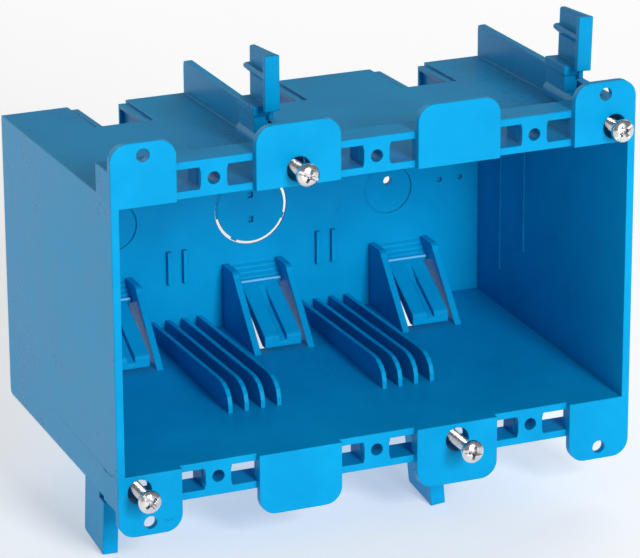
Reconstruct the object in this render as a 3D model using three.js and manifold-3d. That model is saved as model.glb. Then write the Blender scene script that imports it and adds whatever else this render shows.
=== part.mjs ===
// Three-gang old-work (remodel) outlet box: a moulded PVC box that is pushed through a hole in a
// finished wall and held there by four swing clamps. Millimetres, +Z up, +Y into the wall.
// Origin: centre of the box opening, in the plane of the wall surface (the back of the ears).
// The top half of the moulding is the bottom half turned 180 degrees about the Y axis.
import * as THREE from 'three';
import { mergeVertices } from 'three/addons/utils/BufferGeometryUtils.js';
import Module from 'manifold-3d';

const wasm = await Module();
wasm.setup();

// ---------------------------------------------------------------- driving dimensions
const GANG = 46.04;                    // spacing of the three device positions
const DEVICE_Z = 41.67;                // device screw holes above and below the middle
const DEVICE_HOLE_R = 1.75;
const FRONT_Y = -2.0, REAR_Y = 91.0;   // front of the ears and side rims, back of the box
const REAR_T = 2.3;                    // rear wall thickness
const OUT_XF = 75.25, OUT_XR = 73.7;   // outer half width, front and rear
const IN_XF = 73.1, IN_XR = 71.5;      // inner half width, front and rear
const OUT_ZF = 39.1, OUT_ZR = 36.3;    // outer half height of the body, front and rear
const IN_ZF = 37.1, IN_ZR = 34.6;      // inner half height, front and rear
const RAIL_Z = 47.0;                   // outer edge of the device rails
const RAIL_T = 2.0, RAIL_D = 9.0;      // rail front plate thickness and depth of its channel
const EAR_Z = 54.4, EAR_R = 4.8;       // ear tips and their corner radius
const EAR_MID = [11.1, 35.0];          // middle ears, from and to in X
const EAR_END = 57.1;                  // corner ears start here and end at the side
const NAIL = [66.2, 50.95, 1.85];      // nail holes: x, z, radius
const SLOT_Z = [39.0, 45.0];           // slots beside each device hole
const BOSS_W = 3.9;                    // half width of the web and boss round a device hole
const CLAMP_X = [-23.02, 69.06];       // top clamp screws in X; the bottom ones are the negatives
const CLAMP_HOLE_R = 3.45;             // clearance holes for the clamp screws
const FIN_WALL = 3.05;                 // the right-hand side wall's fin starts this far from its screw
const FIN_MID = [3.5, 5.6];            // the free-standing fin, from and to, from the middle screw
const FIN_ZF = 46.3, FIN_ZR = 46.0;    // top of the fins, front and rear
const ENTRY_OFF = 0.4;                 // cable entries sit this far off each gang centre
const ENTRY_W = 8.6;                   // half width of a cable entry
const ENTRY_Y = 68.2, ENTRY_Z = 22.6;  // the entry runs from here to the rear edge
const GUSSET = [7.2, 9.2];             // gusset plates beside each entry, from and to in X
const LEDGE_X = 6.0;                   // half width left open beside the tab, between the ledges
const TAB_W = 5.6;                     // half width of a cable clamp tab
const TAB_PIVOT = [83.75, 20.3];       // line of the tab hinge: y, |z|
const RIB_X = [-7.2, -2.4, 2.4, 7.2];  // divider ribs round each gang boundary
const RIB_T = 1.3, RIB_OFF = 1.1;      // rib thickness, and the groups' shift off the boundary
const BEADS = [[74, -24], [59, -14]];  // thin beads on the inside of the side wall: y, lower end z
const KO_C = [-0.5, 0.3];              // centre of the knockout in X and Z
const KO_WEBS = [-21, 240, 116, 124, 132, 140, 148, 156, 164, 172, 180, 188]; // webs in the slit, degrees
const KO_RIM = 0.6;                    // thickness left at the slit; both edges flare open behind it
const KO_R = 11.1, KO_GAP = 0.85;      // centre knockout hole and the slit round the disc
const DISH_X = 42.7, DISH_R = 7.4;     // shallow round recesses behind the outer gangs
const SCREW_R = 1.6, SCREW_L = 42.0;   // clamp screw core radius and length under the head
const HEAD_R = 3.2, HEAD_H = 2.4;
const HUB_R = 2.5, HUB_BORE = 1.9;     // clamp hub and its bore
const HUB_Y = [-6.6, 16.5];            // the hub's ends, from the flange face
// clamps and screws: axis x, z sign, flange face y, head face y, lean of the arm in degrees
const CLAMPS = [
  { name: 'top_middle', x: CLAMP_X[0], s: 1, y: 19.7, head: -9.5, lean: 0, slot: 28 },
  { name: 'top_right', x: CLAMP_X[1], s: 1, y: 20.4, head: -8.2, lean: 1.8, slot: -35 },
  { name: 'bottom_left', x: -CLAMP_X[1], s: -1, y: 15.6, head: -11.0, lean: 2.2, slot: 50 },
  { name: 'bottom_middle', x: -CLAMP_X[0], s: -1, y: 11.5, head: -13.3, lean: -5, slot: 12 },
];
const PVC = 0x1596d1, ZINC = 0xb9bcc0;
const D = Math.PI / 180;

// ---------------------------------------------------------------- geometry helpers
function solid(geometry) {
  const g = geometry.clone();
  for (const n of Object.keys(g.attributes)) if (n !== 'position') g.deleteAttribute(n);
  const m = mergeVertices(g, 1e-4);
  const ix = m.index.array, tri = [];
  for (let i = 0; i < ix.length; i += 3) {
    if (ix[i] !== ix[i + 1] && ix[i + 1] !== ix[i + 2] && ix[i] !== ix[i + 2]) tri.push(ix[i], ix[i + 1], ix[i + 2]);
  }
  return new wasm.Manifold(new wasm.Mesh({
    numProp: 3, vertProperties: new Float32Array(m.attributes.position.array), triVerts: new Uint32Array(tri),
  }));
}
function toGeometry(man) {
  const mesh = man.getMesh();
  const g = new THREE.BufferGeometry();
  g.setAttribute('position', new THREE.BufferAttribute(new Float32Array(mesh.vertProperties), 3));
  g.setIndex(new THREE.BufferAttribute(new Uint32Array(mesh.triVerts), 1));
  g.computeVertexNormals();
  return g;
}
function box(x0, x1, y0, y1, z0, z1) {
  const g = new THREE.BoxGeometry(Math.abs(x1 - x0), Math.abs(y1 - y0), Math.abs(z1 - z0));
  g.translate((x0 + x1) / 2, (y0 + y1) / 2, (z0 + z1) / 2);
  return solid(g);
}
// box whose x and z limits change from y0 to y1
function taper(y0, a, y1, b) {
  const g = new THREE.BoxGeometry(1, 1, 1), p = g.attributes.position;
  for (let i = 0; i < p.count; i++) {
    const l = p.getY(i) < 0 ? a : b;
    p.setXYZ(i, p.getX(i) < 0 ? l[0] : l[1], p.getY(i) < 0 ? y0 : y1, p.getZ(i) < 0 ? l[2] : l[3]);
  }
  return solid(g);
}
function area(pts) {
  let s = 0;
  pts.forEach((p, i) => { const q = pts[(i + 1) % pts.length]; s += p[0] * q[1] - q[0] * p[1]; });
  return s / 2;
}
// polygon in (y, z) drawn out along X from x0 to x1
function prismX(pts, x0, x1) {
  const o = area(pts) < 0 ? [...pts].reverse() : pts;
  const g = new THREE.ExtrudeGeometry(new THREE.Shape(o.map(([y, z]) => new THREE.Vector2(y, z))),
    { depth: x1 - x0, bevelEnabled: false });
  const p = g.attributes.position;
  for (let i = 0; i < p.count; i++) p.setXYZ(i, p.getZ(i) + x0, p.getX(i), p.getY(i));
  return solid(g);
}
// shape in (x, z) drawn out along Y from y0 to y1
function plateY(shape, y0, y1) {
  const g = new THREE.ExtrudeGeometry(shape, { depth: y1 - y0, bevelEnabled: false, curveSegments: 5 });
  g.rotateX(Math.PI / 2);
  g.translate(0, y1, 0);
  return solid(g);
}
function cylY(x, z, r, y0, y1, seg = 20, turn = 0) {
  const g = new THREE.CylinderGeometry(r, r, y1 - y0, seg);
  g.rotateY(turn);
  g.translate(x, (y0 + y1) / 2, z);
  return solid(g);
}
// round solid on a line along Y whose radius changes from r0 at y0 to r1 at y1
function coneY(x, z, r0, r1, y0, y1, seg) {
  const g = new THREE.CylinderGeometry(r1, r0, y1 - y0, seg);
  g.translate(x, (y0 + y1) / 2, z);
  return solid(g);
}
const turned = (m) => m.rotate([0, 180, 0]);
const both = (m) => m.add(turned(m));
const add = (list) => list.reduce((a, b) => a.add(b));

// ---------------------------------------------------------------- box body
const inZ = (y) => IN_ZF + (IN_ZR - IN_ZF) * (y / (REAR_Y - REAR_T));
const inX = (y) => IN_XF + (IN_XR - IN_XF) * (y / (REAR_Y - REAR_T));

function earShape(x0, x1) {
  // rounded at the tip only; the root is square and runs down to the opening
  const s = new THREE.Shape();
  s.moveTo(x0, IN_ZF);
  s.lineTo(x1, IN_ZF);
  s.lineTo(x1, EAR_Z - EAR_R);
  s.absarc(x1 - EAR_R, EAR_Z - EAR_R, EAR_R, 0, Math.PI / 2, false);
  s.lineTo(x0 + EAR_R, EAR_Z);
  s.absarc(x0 + EAR_R, EAR_Z - EAR_R, EAR_R, Math.PI / 2, Math.PI, false);
  s.lineTo(x0, IN_ZF);
  return s;
}

// everything that lies on the upper half; the lower half is the same, turned about Y
function upperAdd() {
  const parts = [];
  // rail: front plate and outer shelf wall, with end walls and bosses behind the device holes
  parts.push(box(-OUT_XF, OUT_XF, 0, RAIL_T, IN_ZF + 0.02, RAIL_Z));
  parts.push(box(-OUT_XF, OUT_XF, 0, RAIL_D, SLOT_Z[1], RAIL_Z));
  for (const e of [-1, 1]) parts.push(box(e * IN_XF, e * OUT_XF, 0, RAIL_D, OUT_ZF - 1, RAIL_Z));
  for (const k of [-1, 0, 1]) {
    parts.push(box(k * GANG - BOSS_W, k * GANG + BOSS_W, 0, RAIL_D - 0.1, OUT_ZF - 1, RAIL_Z - 0.5));
  }
  // ears
  for (const [a, b] of [[-OUT_XF, -EAR_END], [-EAR_MID[1], -EAR_MID[0]], [EAR_MID[0], EAR_MID[1]], [EAR_END, OUT_XF]]) {
    parts.push(plateY(earShape(a, b), FRONT_Y, 0));
    parts.push(box(a + 0.4, b - 0.4, FRONT_Y + 0.5, 0.5, IN_ZF + 0.4, RAIL_Z - 0.4));
  }
  // clamp stop fins: a free-standing one by the middle clamp, and the side wall carried up at the right
  const finTop = (y) => FIN_ZF + (FIN_ZR - FIN_ZF) * (y / REAR_Y);
  const finPoly = [[RAIL_D - 0.5, OUT_ZF - 1], [RAIL_D - 0.5, finTop(RAIL_D)], [REAR_Y - 1.4, finTop(REAR_Y)],
    [REAR_Y - 0.4, finTop(REAR_Y) - 0.4], [REAR_Y, finTop(REAR_Y) - 1.4], [REAR_Y, IN_ZR + 1], [40, IN_ZF]];
  parts.push(prismX(finPoly, CLAMP_X[0] + FIN_MID[0], CLAMP_X[0] + FIN_MID[1]));
  const fx = CLAMP_X[1] + FIN_WALL;
  parts.push(prismX(finPoly, fx, OUT_XF).intersect(
    taper(0, [fx - 1, OUT_XF, 0, 60], REAR_Y, [fx - 1, OUT_XR, 0, 60])));
  // divider ribs on the ceiling, and the short upright pairs on the rear wall that line up with them
  for (const b of [-0.5, 0.5]) {
    const c = b * GANG + RIB_OFF;
    const rib = [[REAR_Y - 1.5, inZ(88) + 0.9], [REAR_Y - 1.5, 30.3], [36, 28.9], [33, 29.2], [30.6, 30.2], [28.9, 31.8],
      [28.1, 34.0], [28.0, inZ(28) + 0.9]];
    for (const x of RIB_X) parts.push(prismX(rib, c + x - RIB_T / 2, c + x + RIB_T / 2));
    for (const x of [-2.4, 2.4]) {
      parts.push(box(c - 0.5 + x - 0.6, c - 0.5 + x + 0.6, REAR_Y - REAR_T - 1.4, REAR_Y - 1, 9.6, 19.4));
    }
  }
  return parts;
}
function entryAdd(xc) {
  const g = [[REAR_Y - 0.6, 15.8], [81.4, 15.8], [80.2, 16.3], [79.5, 17.4], [63.0, inZ(63) + 0.9],
    [REAR_Y - 0.6, inZ(90) + 0.9]];
  const ramp = [[REAR_Y - 0.6, 16.3], [88.8, 16.3], [87.6, 17.2], [87.6, 17.5], [86.4, 18.4], [86.4, 18.7],
    [85.2, 19.5], [85.2, 19.8], [84.05, 20.6], [84.05, 21.6], [88.7, ENTRY_Z], [REAR_Y - 0.6, ENTRY_Z]];
  return [
    prismX(g, xc - GUSSET[1], xc - GUSSET[0]),
    prismX(g, xc + GUSSET[0], xc + GUSSET[1]),
    prismX(ramp, xc - GUSSET[0] - 0.2, xc + GUSSET[0] + 0.2),
    // ledges that narrow the entry to the width of the tab, on the floor and up the rear wall
    ...[-1, 1].map((e) => prismX([[66.0, inZ(66) + 0.1], [88.6, inZ(88.6) + 0.1], [88.6, ENTRY_Z - 0.5],
      [89.7, ENTRY_Z - 0.5], [89.7, inZ(89.7) + 1.2], [66.0, inZ(66) + 1.4]],
    xc + (e < 0 ? -GUSSET[0] - 0.5 : LEDGE_X), xc + (e < 0 ? -LEDGE_X : GUSSET[0] + 0.5))),
  ];
}

let body = taper(FRONT_Y, [-OUT_XF, OUT_XF, -OUT_ZF, OUT_ZF], REAR_Y, [-OUT_XR, OUT_XR, -OUT_ZR, OUT_ZR]);
// front gaps between the ears, where the rail face stands 2 mm behind them
const gaps = [[-EAR_END, -EAR_MID[1]], [-EAR_MID[0], EAR_MID[0]], [EAR_MID[1], EAR_END]]
  .map(([a, b]) => box(a, b, FRONT_Y - 1, 0, IN_ZF - 4, IN_ZF + 20));
body = body.add(both(add(upperAdd())));
body = body.subtract(both(add(gaps)));
// the hollow, drafted towards the rear
body = body.subtract(taper(FRONT_Y - 0.01, [-IN_XF, IN_XF, -IN_ZF, IN_ZF], REAR_Y - REAR_T,
  [-IN_XR, IN_XR, -IN_ZR, IN_ZR]).subtract(both(add(upperAdd().slice(-12)))));
// cable entries
const entryX = [-1, 0, 1].map((k) => k * GANG + ENTRY_OFF);
body = body.subtract(both(add(entryX.map((x) => box(x - ENTRY_W, x + ENTRY_W, ENTRY_Y, REAR_Y + 2, ENTRY_Z, 60)))));
body = body.add(both(add(entryX.flatMap(entryAdd))));
body = body.add(both(add(BEADS.map(([y, z]) => box(inX(y) - 0.3, inX(y) + 0.8, y - 0.45, y + 0.45, z, inZ(y) + 0.3)))));
// slots beside the device holes, device holes, clamp screw holes and nail holes
const cuts = [];
for (const k of [-1, 0, 1]) {
  for (const e of [-1, 1]) {
    const s = new THREE.Shape();
    const xi = k * GANG + e * (BOSS_W + 0.1), xo = k * GANG + e * (e > 0 ? 11.06 : 11.06);
    s.moveTo(xi, SLOT_Z[0]);
    s.lineTo(xi - e * 0.35, (SLOT_Z[0] + SLOT_Z[1]) / 2 - 1.6);
    s.lineTo(xi - e * 0.35, (SLOT_Z[0] + SLOT_Z[1]) / 2 + 1.6);
    s.lineTo(xi, SLOT_Z[1]);
    s.lineTo(xo, SLOT_Z[1]);
    s.lineTo(xo, SLOT_Z[0]);
    cuts.push(plateY(s, -0.5, RAIL_T + 0.5));
  }
  cuts.push(cylY(k * GANG, DEVICE_Z, DEVICE_HOLE_R, -1, RAIL_D + 4, 18));
}
for (const x of CLAMP_X) cuts.push(cylY(x, DEVICE_Z, CLAMP_HOLE_R, FRONT_Y - 1, RAIL_D, 22));
for (const e of [-1, 1]) cuts.push(cylY(e * NAIL[0], NAIL[1], NAIL[2], FRONT_Y - 1, 1, 18));
body = body.subtract(both(add(cuts)));
// rear wall: knockout hole, shallow dishes, a small hole in each and two dimples
const wallIn = REAR_Y - REAR_T;
body = body.subtract(cylY(KO_C[0], KO_C[1], KO_R, wallIn - 3, REAR_Y + 1, 40));
body = body.subtract(coneY(KO_C[0], KO_C[1], KO_R, KO_R + 2.0, wallIn + KO_RIM, REAR_Y + 0.05, 40));
body = body.subtract(both(add([
  cylY(DISH_X, 0, DISH_R, wallIn - 1, wallIn + 0.6, 32),
  cylY(DISH_X, 2.4, 1.3, wallIn - 1, REAR_Y + 1, 14),
  cylY(59.1, 0.8, 0.8, wallIn - 1, wallIn + 0.9, 10),
  cylY(65.6, 0.8, 0.8, wallIn - 1, wallIn + 0.9, 10),
])));

// ---------------------------------------------------------------- centre knockout disc
let knock = cylY(0, 0, KO_R - KO_GAP, wallIn + 0.1, wallIn + KO_RIM + 0.1, 40);
knock = knock.add(coneY(0, 0, KO_R - KO_GAP - 0.05, KO_R - KO_GAP - 1.6, wallIn + KO_RIM, REAR_Y - 0.2, 40));
for (const a of KO_WEBS) {
  knock = knock.add(box(0, KO_R - 0.3, wallIn + 0.25, wallIn + KO_RIM, -0.9, 0.9).rotate([0, -a, 0]));
}
knock = knock.subtract(box(-0.7, 0.7, wallIn - 1, wallIn + 1.1, 2.8, 4.6));
knock = knock.subtract(box(-0.7, 0.7, wallIn - 1, wallIn + 1.1, -4.6, -2.8)).translate([KO_C[0], 0, KO_C[1]]);

// ---------------------------------------------------------------- cable clamp tabs
function tab(s, xc) {
  const top = (y) => 20.3 + (83.75 - y) * 0.56;
  const outline = [[83.7, 20.33], [65.6, top(65.6)], [65.0, top(65.6) + 0.6], [65.0, 34.2], [67.4, 34.2], [83.7, 22.6]];
  let t = prismX(outline, -TAB_W, TAB_W);
  // groove down the middle, deepening from the hinge and open through the lip
  t = t.subtract(prismX([[82.4, top(82.4) - 1], [64.0, top(64.0) - 1], [64.0, top(64.0) + 2.0], [67.0, top(67.0) + 1.7],
    [76.5, top(76.5) + 1.5], [82.4, top(82.4) - 0.1]], -1.05, 1.05));
  return s > 0 ? t.translate([xc, 0, 0]) : turned(t).translate([xc, 0, 0]);
}

// ---------------------------------------------------------------- swing clamp, arm up, hub on the Y axis
function swingClamp() {
  const top = 66.1 - DEVICE_Z, low = 50.9 - DEVICE_Z;
  // flange across the front of the arm, and the web behind it on the fin side
  let m = box(-0.6, 3.6, 0, 1.5, low, top);
  const webPoly = [[0, low], [0, top], [15.9, top - 1.0], [16.5, top - 1.6], [16.5, 5.8], [4.0, 5.8], [4.0, low]];
  let web = prismX(webPoly, 1.2, 3.6);
  // the web's faces lean in towards the rear
  web = web.intersect(taper(-1, [2.25, 3.64, -10, 40], 17, [1.75, 2.95, -10, 40]));
  m = m.add(web);
  // gripping tooth on the inner side of the web
  const tooth = new THREE.Shape();
  tooth.moveTo(2.2, 15.4);
  tooth.lineTo(2.2, 18.7);
  tooth.lineTo(0.5, 18.7);
  tooth.lineTo(-0.15, 18.3);
  tooth.lineTo(-0.1, 17.5);
  m = m.add(plateY(tooth, 0.8, 16.4));
  // foot plate under the arm, and the long round hub that runs on the screw below it
  m = m.add(box(-2.2, 2.9, 4.6, 16.3, 7.0, low + 0.3));
  m = m.add(box(-1.5, 2.5, 5.6, 16.5, 0, 7.4));
  m = m.add(cylY(0, 0, HUB_R, HUB_Y[0], HUB_Y[1], 24));
  return m.subtract(cylY(0, 0, HUB_BORE, HUB_Y[0] - 1, HUB_Y[1] + 1, 20));
}

// ---------------------------------------------------------------- clamp screw, head face at y = 0
function clampScrew() {
  const p = [[0, 0], [1.5, 0.02], [2.35, 0.22], [2.9, 0.62], [HEAD_R, 1.25], [HEAD_R, HEAD_H - 0.15], [HEAD_R - 0.15, HEAD_H],
    [SCREW_R, HEAD_H], [SCREW_R, HEAD_H + SCREW_L - 1.2], [SCREW_R - 0.8, HEAD_H + SCREW_L], [0, HEAD_H + SCREW_L]];
  const g = new THREE.LatheGeometry(p.map(([r, y]) => new THREE.Vector2(r, y)), 24);
  let m = solid(g);
  // combination recess: a straight slot with a cross at its middle
  m = m.subtract(box(-4, 4, -1, 0.95, -0.5, 0.5));
  m = m.subtract(box(-0.55, 0.55, -1, 1.5, -1.9, 1.9));
  m = m.subtract(box(-1.9, 1.9, -1, 1.5, -0.55, 0.55));
  return m;
}

// ---------------------------------------------------------------- assembly
const group = new THREE.Group();
function put(name, man, colour, roughness, metalness) {
  const mesh = new THREE.Mesh(toGeometry(man), new THREE.MeshStandardMaterial({ color: colour, roughness, metalness }));
  mesh.name = name;
  group.add(mesh);
  return mesh;
}
put('box_body', body, PVC, 0.42, 0);
put('centre_knockout', knock, PVC, 0.42, 0);
const SIDE = ['left', 'middle', 'right'];
for (const s of [1, -1]) {
  for (const k of [-1, 0, 1]) {
    put(`cable_tab_${s > 0 ? 'top' : 'bottom'}_${SIDE[k + 1]}`, tab(s, k * GANG + s * ENTRY_OFF), PVC, 0.42, 0);
  }
}
const clampMan = swingClamp(), screwMan = clampScrew();
for (const c of CLAMPS) {
  const arm = put(`swing_clamp_${c.name}`, clampMan.rotate([0, (c.s > 0 ? 0 : 180), 0]), PVC, 0.42, 0);
  arm.position.set(c.x, c.y, c.s * DEVICE_Z);
  arm.rotation.y = c.lean * D;
  const screw = put(`clamp_screw_${c.name}`, screwMan, ZINC, 0.25, 1);
  screw.position.set(c.x, c.head, c.s * DEVICE_Z);
  screw.rotation.y = c.slot * D;
}
export default group;
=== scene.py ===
import math

import bmesh
import bpy
from mathutils import Matrix, Vector


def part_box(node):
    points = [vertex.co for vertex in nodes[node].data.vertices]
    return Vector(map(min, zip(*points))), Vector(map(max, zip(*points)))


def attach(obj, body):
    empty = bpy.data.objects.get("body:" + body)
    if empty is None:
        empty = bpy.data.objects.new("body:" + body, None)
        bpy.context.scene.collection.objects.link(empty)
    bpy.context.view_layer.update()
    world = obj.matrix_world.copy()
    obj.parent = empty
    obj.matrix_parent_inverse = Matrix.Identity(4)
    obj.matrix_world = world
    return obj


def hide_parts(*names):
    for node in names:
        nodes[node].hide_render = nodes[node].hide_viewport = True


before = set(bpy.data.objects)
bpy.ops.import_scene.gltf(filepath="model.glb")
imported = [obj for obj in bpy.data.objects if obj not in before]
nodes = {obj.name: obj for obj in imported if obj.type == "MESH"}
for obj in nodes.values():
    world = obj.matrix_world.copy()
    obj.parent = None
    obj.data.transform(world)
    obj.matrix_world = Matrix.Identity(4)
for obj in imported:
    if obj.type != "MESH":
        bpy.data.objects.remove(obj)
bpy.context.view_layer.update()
MM = 0.001

# ------------------------------------------------------------------ node tree helper


class Tree:
    """Small helper that lays out a material's node tree."""

    def __init__(self, name):
        self.mat = bpy.data.materials.new(name)
        self.mat.use_nodes = True
        self.t = self.mat.node_tree
        self.t.nodes.clear()
        self.out = self.t.nodes.new("ShaderNodeOutputMaterial")

    def node(self, kind, **values):
        n = self.t.nodes.new(kind)
        for k, v in values.items():
            if k.startswith("i_"):
                n.inputs[k[2:].replace("_", " ")].default_value = v
            else:
                setattr(n, k, v)
        return n

    def link(self, a, b):
        self.t.links.new(a, b)

    def noise(self, coords, scale, detail=3.0, rough=0.55, distort=0.0):
        n = self.node("ShaderNodeTexNoise", i_Scale=scale, i_Detail=detail, i_Roughness=rough, i_Distortion=distort)
        self.link(coords, n.inputs["Vector"])
        return n.outputs["Fac"]

    def ramp(self, fac, stops, kind="LINEAR"):
        n = self.node("ShaderNodeValToRGB")
        n.color_ramp.interpolation = kind
        e = n.color_ramp.elements
        while len(e) < len(stops):
            e.new(0.5)
        for el, (p, c) in zip(e, stops):
            el.position = p
            el.color = (*c, 1.0) if len(c) == 3 else (c[0], c[0], c[0], 1.0)
        self.link(fac, n.inputs["Fac"])
        return n.outputs["Color"]

    def maths(self, op, a, b):
        n = self.node("ShaderNodeMath", operation=op)
        for i, v in enumerate((a, b)):
            if isinstance(v, (int, float)):
                n.inputs[i].default_value = v
            else:
                self.link(v, n.inputs[i])
        return n.outputs[0]

    def mix(self, fac, a, b, mode="MIX"):
        n = self.node("ShaderNodeMix", data_type="RGBA", blend_type=mode)
        for s, v in ((n.inputs[0], fac), (n.inputs[6], a), (n.inputs[7], b)):
            if isinstance(v, (int, float)):
                s.default_value = v
            elif isinstance(v, tuple):
                s.default_value = (*v, 1.0)
            else:
                self.link(v, s)
        return n.outputs[2]


# ------------------------------------------------------------------ blue PVC


def pvc(name, PVC_DARK, PVC_MID, PVC_LIGHT):
    m = Tree(name)
    co = m.node("ShaderNodeTexCoord").outputs["Object"]
    geo = m.node("ShaderNodeNewGeometry")
    wide = m.noise(co, 22, 3, 0.6, 0.4)
    cloudy = m.noise(co, 95, 4, 0.6)
    fine = m.noise(co, 900, 2, 0.5)
    # resin colour, with slow flow variation and faint mottling
    flow = m.maths("ADD", m.maths("MULTIPLY", wide, 0.65), m.maths("MULTIPLY", cloudy, 0.35))
    base = m.ramp(flow, [(0.30, PVC_DARK), (0.50, PVC_MID), (0.70, PVC_LIGHT)])
    # painted highlight: paler edges where the rounded bevel normal leaves the flat one
    bev = m.node("ShaderNodeBevel", samples=6)
    bev.inputs["Radius"].default_value = 0.55 * MM
    dot = m.node("ShaderNodeVectorMath", operation="DOT_PRODUCT")
    m.link(bev.outputs["Normal"], dot.inputs[0])
    m.link(geo.outputs["True Normal"], dot.inputs[1])
    edge = m.ramp(m.maths("SUBTRACT", 1.0, dot.outputs["Value"]), [(0.02, (0.0,)), (0.20, (1.0,))])
    edge_sheen = m.maths("MULTIPLY", edge, m.ramp(cloudy, [(0.34, (0.10,)), (0.66, (0.42,))]))
    base = m.mix(edge_sheen, base, PVC_SHEEN_AND_SCUFF)
    # scuffs: thin pale scratches, stretched along one way and broken up
    st = m.node("ShaderNodeMapping")
    st.inputs["Scale"].default_value = (1.0, 0.16, 2.2)
    st.inputs["Rotation"].default_value = (0.3, 0.5, 0.9)
    m.link(co, st.inputs["Vector"])
    scratch = m.ramp(m.noise(st.outputs["Vector"], 420, 2, 0.5, 1.2), [(0.67, (0.0,)), (0.71, (1.0,))])
    patch = m.ramp(m.noise(co, 34, 2, 0.5), [(0.58, (0.0,)), (0.74, (1.0,))])
    scuff = m.maths("MULTIPLY", scratch, patch)
    base = m.mix(m.maths("MULTIPLY", scuff, 0.07), base, PVC_SHEEN_AND_SCUFF)
    # painted shade: darker blue in corners and recesses, from the AO mask
    ao = m.node("ShaderNodeAmbientOcclusion", samples=4)
    ao.inputs["Distance"].default_value = 3.0 * MM
    crevice_shade = m.ramp(ao.outputs["AO"], [(0.25, (1.0,)), (0.85, (0.0,))])
    base = m.mix(m.maths("MULTIPLY", crevice_shade, 0.30), base, PVC_CREVICE_SHADE)
    rough = m.ramp(flow, [(0.32, (0.25,)), (0.68, (0.38,))])
    rough = m.maths("ADD", m.maths("ADD", rough, m.maths("MULTIPLY", scuff, 0.08)),
                    m.maths("MULTIPLY", m.maths("SUBTRACT", fine, 0.5), 0.10))
    # moulded texture over slight sink and waviness
    b1 = m.node("ShaderNodeBump")
    b1.inputs["Strength"].default_value = 0.30
    b1.inputs["Distance"].default_value = 0.35 * MM
    m.link(wide, b1.inputs["Height"])
    m.link(bev.outputs["Normal"], b1.inputs["Normal"])
    b2 = m.node("ShaderNodeBump")
    b2.inputs["Strength"].default_value = 0.22
    b2.inputs["Distance"].default_value = 0.04 * MM
    m.link(fine, b2.inputs["Height"])
    m.link(b1.outputs["Normal"], b2.inputs["Normal"])
    p = m.node("ShaderNodeBsdfPrincipled")
    m.link(base, p.inputs["Base Color"])
    m.link(rough, p.inputs["Roughness"])
    m.link(b2.outputs["Normal"], p.inputs["Normal"])
    p.inputs["IOR"].default_value = 1.5
    p.inputs["Specular IOR Level"].default_value = 0.13
    p.inputs["Specular Tint"].default_value = (0.35, 0.75, 1.0, 1)
    m.link(p.outputs["BSDF"], m.out.inputs["Surface"])
    return m.mat


PVC_DARK = (0.0006, 0.255, 0.535)
PVC_MID = (0.0008, 0.295, 0.600)
PVC_LIGHT = (0.0012, 0.338, 0.655)
# pale blue for the painted edge highlight and for the scuff marks
PVC_SHEEN_AND_SCUFF = (0.0080, 0.450, 0.800)
# dark blue for the painted shade in corners and recesses
PVC_CREVICE_SHADE = (0.0008, 0.090, 0.260)


def zinc(name):
    m = Tree(name)
    co = m.node("ShaderNodeTexCoord").outputs["Object"]
    geo = m.node("ShaderNodeNewGeometry")
    cloudy = m.noise(co, 420, 4, 0.6)
    fine = m.noise(co, 2600, 2, 0.5)
    base = m.ramp(cloudy, [(0.30, (0.56, 0.57, 0.585)), (0.52, (0.74, 0.745, 0.755)), (0.72, (0.84, 0.84, 0.835))])
    # passivated film: faint warm and blue tints
    tint = m.ramp(m.noise(co, 160, 2, 0.5, 0.6), [(0.36, (0.93, 0.95, 1.0)), (0.5, (1.0, 1.0, 1.0)), (0.66, (1.0, 0.97, 0.90))])
    base = m.mix(0.7, base, tint, "MULTIPLY")
    # painted highlight: paler edges where the rounded bevel normal leaves the flat one
    bev = m.node("ShaderNodeBevel", samples=6)
    bev.inputs["Radius"].default_value = 0.14 * MM
    dot = m.node("ShaderNodeVectorMath", operation="DOT_PRODUCT")
    m.link(bev.outputs["Normal"], dot.inputs[0])
    m.link(geo.outputs["True Normal"], dot.inputs[1])
    edge = m.ramp(m.maths("SUBTRACT", 1.0, dot.outputs["Value"]), [(0.02, (0.0,)), (0.20, (1.0,))])
    base = m.mix(m.maths("MULTIPLY", edge, 0.5), base, (0.93, 0.93, 0.92))
    # painted shade: near-black darkening in the thread roots and head recess, from the AO mask
    ao = m.node("ShaderNodeAmbientOcclusion", samples=4)
    ao.inputs["Distance"].default_value = 0.7 * MM
    crevice_shade = m.ramp(ao.outputs["AO"], [(0.20, (1.0,)), (0.80, (0.0,))])
    base = m.mix(m.maths("MULTIPLY", crevice_shade, 0.65), base, (0.10, 0.105, 0.11))
    rough = m.ramp(cloudy, [(0.32, (0.16,)), (0.70, (0.34,))])
    bump = m.node("ShaderNodeBump")
    bump.inputs["Strength"].default_value = 0.25
    bump.inputs["Distance"].default_value = 0.03 * MM
    m.link(m.maths("ADD", cloudy, m.maths("MULTIPLY", fine, 0.5)), bump.inputs["Height"])
    m.link(bev.outputs["Normal"], bump.inputs["Normal"])
    p = m.node("ShaderNodeBsdfPrincipled")
    p.inputs["Metallic"].default_value = 1.0
    m.link(base, p.inputs["Base Color"])
    m.link(rough, p.inputs["Roughness"])
    m.link(bump.outputs["Normal"], p.inputs["Normal"])
    m.link(p.outputs["BSDF"], m.out.inputs["Surface"])
    return m.mat


PVC = pvc("blue_pvc", PVC_DARK, PVC_MID, PVC_LIGHT)
# paler blue resin on the hinge folds: painted highlight that brightens the fold line
PALE_FOLD_HIGHLIGHT = pvc("blue_pvc_fold_highlight", (0.10, 0.47, 0.78), (0.16, 0.55, 0.84), (0.24, 0.63, 0.90))
ZINC = zinc("zinc_steel")


def dress(o, mat):
    o.data.materials.clear()
    o.data.materials.append(mat)


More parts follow.
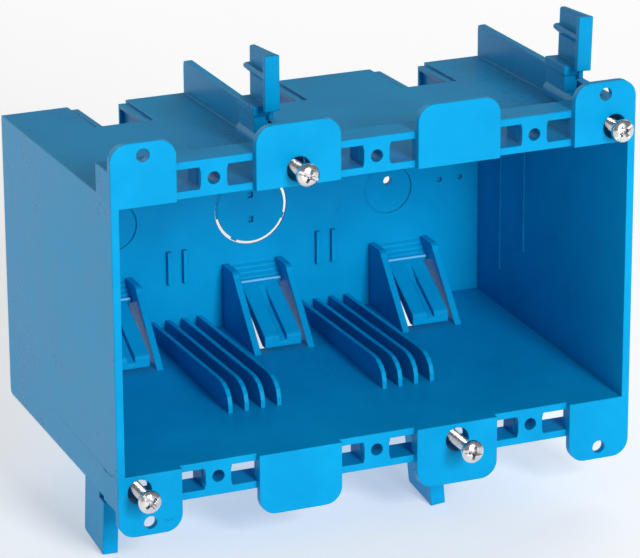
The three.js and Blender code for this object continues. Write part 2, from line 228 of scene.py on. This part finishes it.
def soften(o, width, angle=32, segments=2):
    """Joins the split vertices, merges coplanar triangles and rounds the edges, all as modifiers."""
    w = o.modifiers.new("weld", "WELD")
    w.merge_threshold = 2e-6
    d = o.modifiers.new("planar", "DECIMATE")
    d.decimate_type = "DISSOLVE"
    d.angle_limit = math.radians(0.6)
    b = o.modifiers.new("edge", "BEVEL")
    b.width = width
    b.segments = segments
    b.limit_method = "ANGLE"
    b.angle_limit = math.radians(angle)
    b.use_clamp_overlap = True
    b.harden_normals = False


for name, o in nodes.items():
    if name.startswith("clamp_screw"):
        continue
    dress(o, PVC)

# ------------------------------------------------------------------ clamp screws, with thread and recess
HEAD_R, HEAD_H, LEN = 3.2, 2.4, 42.0
ROOT, CREST, PITCH = 1.32, 1.72, 0.8


def lathe(bm, profile, seg):
    """Round closed solid about +Y from (radius, y) points that start and end on the axis."""
    rings = []
    for r, y in profile:
        if r < 1e-9:
            rings.append([bm.verts.new((0, y, 0))])
        else:
            rings.append([bm.verts.new((r * math.cos(2 * math.pi * k / seg), y, r * math.sin(2 * math.pi * k / seg)))
                          for k in range(seg)])
    for a, b in zip(rings, rings[1:]):
        for k in range(seg):
            n = (k + 1) % seg
            if len(a) == 1:
                bm.faces.new((a[0], b[k], b[n]))
            elif len(b) == 1:
                bm.faces.new((a[k], b[0], a[n]))
            else:
                bm.faces.new((a[k], b[k], b[n], a[n]))


def obj_from(bm, name):
    bmesh.ops.recalc_face_normals(bm, faces=bm.faces[:])
    me = bpy.data.meshes.new(name)
    bm.to_mesh(me)
    bm.free()
    o = bpy.data.objects.new(name, me)
    bpy.context.scene.collection.objects.link(o)
    return o


def screw_head():
    bm = bmesh.new()
    dome = [(0, 0)] + [(2.95 * math.sin(a), 1.05 * (1 - math.cos(a)) / (1 - math.cos(1.25)) * 0.8)
                       for a in [0.12 * k for k in range(1, 11)]]
    rim = [(3.04, 1.02), (3.14, 1.16), (HEAD_R, 1.36), (HEAD_R, 1.95), (3.1, 2.24), (2.9, HEAD_H), (0, HEAD_H)]
    lathe(bm, dome + rim, 56)
    head = obj_from(bm, "head")

    def cutter(parts):
        cb = bmesh.new()
        for pts0, y0, pts1, y1 in parts:
            a = [cb.verts.new((x, y0, z)) for x, z in pts0]
            b = [cb.verts.new((x, y1, z)) for x, z in pts1]
            n = len(a)
            cb.faces.new(a)
            cb.faces.new(b[::-1])
            for k in range(n):
                cb.faces.new((a[k], b[k], b[(k + 1) % n], a[(k + 1) % n]))
        return obj_from(cb, "cut")

    def rect(w, h):
        return [(-w, -h), (w, -h), (w, h), (-w, h)]

    cuts = [
        cutter([(rect(4.0, 0.42), -1.0, rect(4.0, 0.38), 0.95)]),
        cutter([(rect(0.46, 2.35), -0.4, rect(0.30, 1.0), 1.75)]),
        cutter([(rect(2.0, 0.62), -0.2, rect(0.9, 0.38), 1.7)]),
    ]
    for c in cuts:
        m = head.modifiers.new("cut", "BOOLEAN")
        m.operation = "DIFFERENCE"
        m.solver = "EXACT"
        m.object = c
    bpy.context.view_layer.update()
    dg = bpy.context.evaluated_depsgraph_get()
    me = bpy.data.meshes.new_from_object(head.evaluated_get(dg))
    for c in cuts + [head]:
        bpy.data.objects.remove(c, do_unlink=True)
    return me


def thread_mesh():
    """Cylindrical shank with a helical thread, closed at both ends, from under the head to the tip."""
    bm = bmesh.new()
    seg = 22
    y0, y1 = HEAD_H - 0.1, HEAD_H + LEN
    # four profile lines per turn: root, rise, crest, fall
    offs = [(0.00, ROOT), (0.30, ROOT), (0.58, CREST), (0.72, CREST)]
    turns = int((y1 - y0) / PITCH) + 2
    lines = []
    start = y0 - PITCH
    for t in range(turns + 1):
        for f, r in offs:
            lines.append((start + (t + f) * PITCH, r))
    total = len(lines)
    grid = []
    for i, (y, r) in enumerate(lines):
        row = []
        for k in range(seg):
            a = 2 * math.pi * k / seg
            yy = y + PITCH * k / seg
            rr = r
            # runs out at the tip, where the point is chamfered
            if yy > y1 - 1.4:
                rr = max(0.75, min(r, CREST - (yy - (y1 - 1.4)) * 0.62))
            yy = min(max(yy, y0), y1)
            row.append(bm.verts.new((rr * math.cos(a), yy, rr * math.sin(a))))
        grid.append(row)
    per = len(offs)
    for i in range(total - 1):
        for k in range(seg):
            n = k + 1
            if n < seg:
                q = (grid[i][k], grid[i + 1][k], grid[i + 1][n], grid[i][n])
            else:
                if i + per + 1 >= total:
                    continue
                q = (grid[i][k], grid[i + 1][k], grid[i + 1 + per][0], grid[i + per][0])
            try:
                bm.faces.new(q)
            except ValueError:
                pass
    bmesh.ops.remove_doubles(bm, verts=bm.verts[:], dist=1e-5)
    bmesh.ops.dissolve_degenerate(bm, dist=1e-5, edges=bm.edges[:])
    # end faces
    for yy in (y0, y1):
        ring = [v for v in bm.verts if abs(v.co.y - yy) < 1e-6]
        if len(ring) > 2:
            ring.sort(key=lambda v: math.atan2(v.co.z, v.co.x))
            best = {}
            for v in ring:
                key = round(math.atan2(v.co.z, v.co.x), 3)
                if key not in best or v.co.xz.length > best[key].co.xz.length:
                    best[key] = v
            loop = [best[k] for k in sorted(best)]
            c = bm.verts.new((0, yy, 0))
            for a, b in zip(loop, loop[1:] + loop[:1]):
                try:
                    bm.faces.new((c, a, b))
                except ValueError:
                    pass
    bmesh.ops.recalc_face_normals(bm, faces=bm.faces[:])
    me = bpy.data.meshes.new("thread")
    bm.to_mesh(me)
    bm.free()
    return me


def joined(meshes, name):
    bm = bmesh.new()
    for me in meshes:
        bm.from_mesh(me)
    me = bpy.data.meshes.new(name)
    bm.to_mesh(me)
    bm.free()
    return me


def shade(me, degrees):
    for p in me.polygons:
        p.use_smooth = True
    me.set_sharp_from_angle(angle=math.radians(degrees))


SLOTS = {"top_middle": 28, "top_right": -35, "bottom_left": 50, "bottom_middle": 12}
screw_mesh = joined([screw_head(), thread_mesh()], "clamp_screw_visual")
screw_mesh.transform(Matrix.Scale(MM, 4))
shade(screw_mesh, 28)
screw_mesh.materials.clear()
screw_mesh.materials.append(ZINC)
for name, slot in SLOTS.items():
    lo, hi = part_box("clamp_screw_" + name)
    o = bpy.data.objects.new("screw_" + name, screw_mesh)
    bpy.context.scene.collection.objects.link(o)
    o.rotation_euler = (0, math.radians(slot), 0)
    o.location = ((lo.x + hi.x) / 2, lo.y, (lo.z + hi.z) / 2)
    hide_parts("clamp_screw_" + name)
    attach(o, "screw_" + name)

# ------------------------------------------------------------------ small raised dash on the lower left ear
bm = bmesh.new()
bmesh.ops.create_cube(bm, size=1.0)
for v in bm.verts:
    v.co = Vector((v.co.x * 2.3, v.co.y * 0.16, v.co.z * 0.42))
dash = obj_from(bm, "ear_mark")
dash.data.transform(Matrix.Scale(MM, 4))
dash.location = (-0.0610, -0.00198, -0.0510)
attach(dash, "box")
dash.data.materials.append(PVC)

# rounded hinge fold above each cable tab
for name in [n for n in sorted(nodes) if n.startswith("cable_tab")]:
    lo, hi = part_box(name)
    up = 1 if lo.z > 0 else -1
    bm = bmesh.new()
    w, seg = 6.9, 12
    rings = [[bm.verts.new((x, 0.42 * math.cos(2 * math.pi * k / seg), 0.42 * math.sin(2 * math.pi * k / seg)))
              for k in range(seg)] for x in (-w, w)]
    for k in range(seg):
        n = (k + 1) % seg
        bm.faces.new((rings[0][k], rings[1][k], rings[1][n], rings[0][n]))
    bm.faces.new(rings[0])
    bm.faces.new(rings[1][::-1])
    fold = obj_from(bm, "hinge_fold_" + name[10:])
    fold.data.transform(Matrix.Scale(MM, 4))
    shade(fold.data, 40)
    fold.location = ((lo.x + hi.x) / 2, 0.08385, up * 0.02030)
    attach(fold, "box")
    fold.data.materials.append(PALE_FOLD_HIGHLIGHT)

for name, o in nodes.items():
    if not name.startswith("clamp_screw"):
        soften(o, 0.30 * MM)

# ------------------------------------------------------------------ floor, backdrop, light and camera
me = bpy.data.meshes.new("floor")
S = 12.0
Z = -0.0664
me.from_pydata([(-S, -S, Z), (S, -S, Z), (S, S, Z), (-S, S, Z)], [], [(0, 1, 2, 3)])
floor = bpy.data.objects.new("floor", me)
bpy.context.scene.collection.objects.link(floor)
fm = Tree("floor")
fp = fm.node("ShaderNodeBsdfPrincipled")
fp.inputs["Base Color"].default_value = (0.86, 0.86, 0.86, 1)
fp.inputs["Emission Color"].default_value = (1, 1, 1, 1)
fp.inputs["Emission Strength"].default_value = 0.33
fp.inputs["Roughness"].default_value = 0.7
fm.link(fp.outputs["BSDF"], fm.out.inputs["Surface"])
floor.data.materials.append(fm.mat)

world = bpy.data.worlds.new("studio")
bpy.context.scene.world = world
world.use_nodes = True
bg = world.node_tree.nodes["Background"]
bg.inputs["Color"].default_value = (1.0, 1.0, 1.0, 1)
bg.inputs["Strength"].default_value = 0.22
bpy.context.scene.view_settings.view_transform = "Standard"


def area(name, at, target, size, power, colour=(1, 1, 1), shape_y=None):
    l = bpy.data.lights.new(name, "AREA")
    l.shape = "RECTANGLE"
    l.size = size
    l.size_y = shape_y or size
    l.energy = power
    l.color = colour
    o = bpy.data.objects.new(name, l)
    o.location = at
    o.rotation_mode = "QUATERNION"
    o.rotation_quaternion = (Vector(target) - Vector(at)).to_track_quat("-Z", "Y")
    bpy.context.scene.collection.objects.link(o)
    return o


area("key", (0.14, -1.26, 0.60), (0, 0.0, 0), 0.34, 10.5)
area("front_fill", (0.10, -1.36, 0.22), (0, 0.0, 0), 0.30, 7.0)
area("left_fill", (-1.3, 0.12, 0.22), (0, 0.04, 0), 0.7, 2.2)
area("rear", (-0.3, 1.6, 0.5), (0, 0.9, -0.05), 1.2, 7.0)
area("floor_wash", (1.0, 0.9, 0.9), (0.6, 0.7, -0.06), 0.9, 6.0)

cam_data = bpy.data.cameras.new("camera")
cam = bpy.data.objects.new("camera", cam_data)
bpy.context.scene.collection.objects.link(cam)
bpy.context.scene.camera = cam
cam_data.sensor_fit = "HORIZONTAL"
cam_data.sensor_width = 36.0
cam_data.lens = 3791.927 * 36.0 / 640.0
cam_data.clip_start, cam_data.clip_end = 0.05, 60.0
right = Vector((0.92064906, -0.39035929, -0.00499374))
down = Vector((-0.13532683, -0.30711299, -0.94200226))
ahead = Vector((0.36618569, 0.86792928, -0.33556937))
rot = Matrix((right, -down, -ahead)).transposed()
cam.matrix_world = Matrix.Translation((-0.38335323, -0.86964106, 0.34585594)) @ rot.to_4x4()
